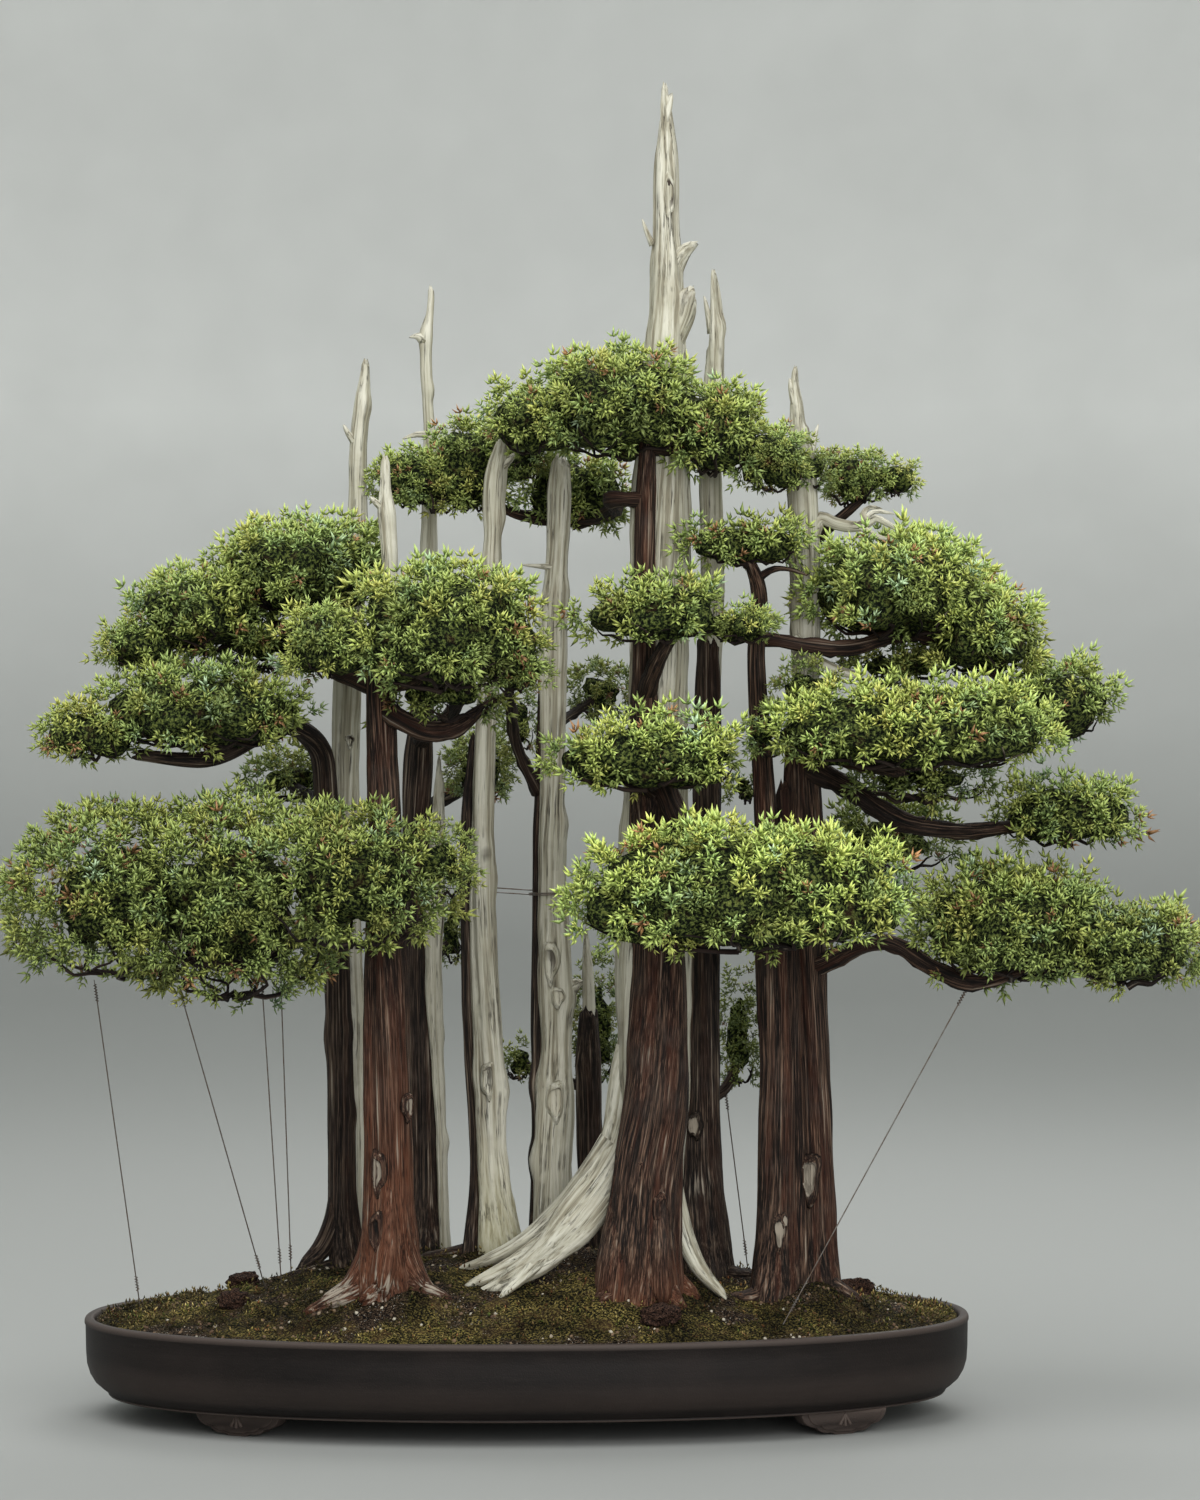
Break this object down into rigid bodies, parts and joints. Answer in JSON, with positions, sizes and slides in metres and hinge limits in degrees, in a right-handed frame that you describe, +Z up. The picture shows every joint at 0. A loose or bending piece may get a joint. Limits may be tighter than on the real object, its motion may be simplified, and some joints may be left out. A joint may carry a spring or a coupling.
{
  "type": "juniper forest bonsai",
  "caption": "Juniper forest bonsai: tall trunks with bleached deadwood and layered foliage pads, on mounded soil in a shallow oval clay pot with cloud feet.",
  "frame": {"origin": "under the middle of the whole object's bounding box, at the level that the pot's feet stand on", "axes": "+X along the pot's length, to the right as seen from the front; +Y to the back; +Z up"},
  "size_m": [1.0758, 0.545, 1.1891],
  "materials": {
    "wire": "thin dull wire",
    "deadwood": "bleached bare wood, cream-grey, long fine cracks, matte",
    "dark_bark": "shaded juniper bark, brown-grey, fibrous, matte",
    "red_bark": "peeled juniper bark, red-brown, fibrous, matte",
    "foliage": "scale leaves and short needles, matte with a faint sheen, yellow-green at the tips and dark green within",
    "lava_rock": "porous lava, dark red-brown, rough",
    "mesh": "dark drain screen",
    "soil": "gritty bonsai soil under patchy moss, matte",
    "pot": "unglazed fired clay, dark purplish brown, faint sheen"
  },
  "bodies": {
    "root": {"wire_far_left": "wire", "wire_left": "wire", "wire_left_inner": "wire", "wire_left_outer": "wire", "wire_right": "wire", "wire_back": "wire", "tree_1_deadwood": "deadwood", "tree_1_bark": "dark_bark", "tree_2_deadwood": "deadwood", "tree_2_bark": "red_bark", "tree_3_deadwood": "deadwood", "tree_3_strip": "deadwood", "tree_3_bark": "dark_bark", "tree_4_deadwood": "deadwood", "tree_4_bark": "dark_bark", "tree_5_deadwood": "deadwood", "tree_5_bark": "dark_bark", "tree_6_deadwood": "deadwood", "tree_6_bark": "dark_bark", "tree_7_deadwood": "deadwood", "tree_7_bark": "red_bark", "tree_8_deadwood": "deadwood", "tree_8_bark": "dark_bark", "tree_9_bark": "red_bark", "tree_10_deadwood": "deadwood", "tree_10_bark": "red_bark", "foliage_crown": "foliage", "foliage_crown_left": "foliage", "foliage_crown_right": "foliage", "foliage_small_top": "foliage", "foliage_centre_upper": "foliage", "foliage_centre_middle": "foliage", "foliage_centre_low": "foliage", "foliage_right_upper": "foliage", "foliage_right_shoulder": "foliage", "foliage_right_middle": "foliage", "foliage_right_low_middle": "foliage", "foliage_right_low": "foliage", "foliage_left_upper": "foliage", "foliage_left_middle": "foliage", "foliage_left_arm": "foliage", "foliage_left_low": "foliage", "foliage_back_left": "foliage", "foliage_back_left_middle": "foliage", "foliage_back_left_low": "foliage", "foliage_back_centre": "foliage", "foliage_back_right": "foliage", "foliage_back_low_centre": "foliage", "foliage_back_low_left": "foliage", "foliage_back_low_right": "foliage", "rock_left_back": "lava_rock", "rock_left_front": "lava_rock", "rock_front": "lava_rock", "rock_right": "lava_rock", "drain_screen_1": "mesh", "drain_screen_2": "mesh", "soil": "soil", "pot": "pot"}
  },
  "joints": []
}
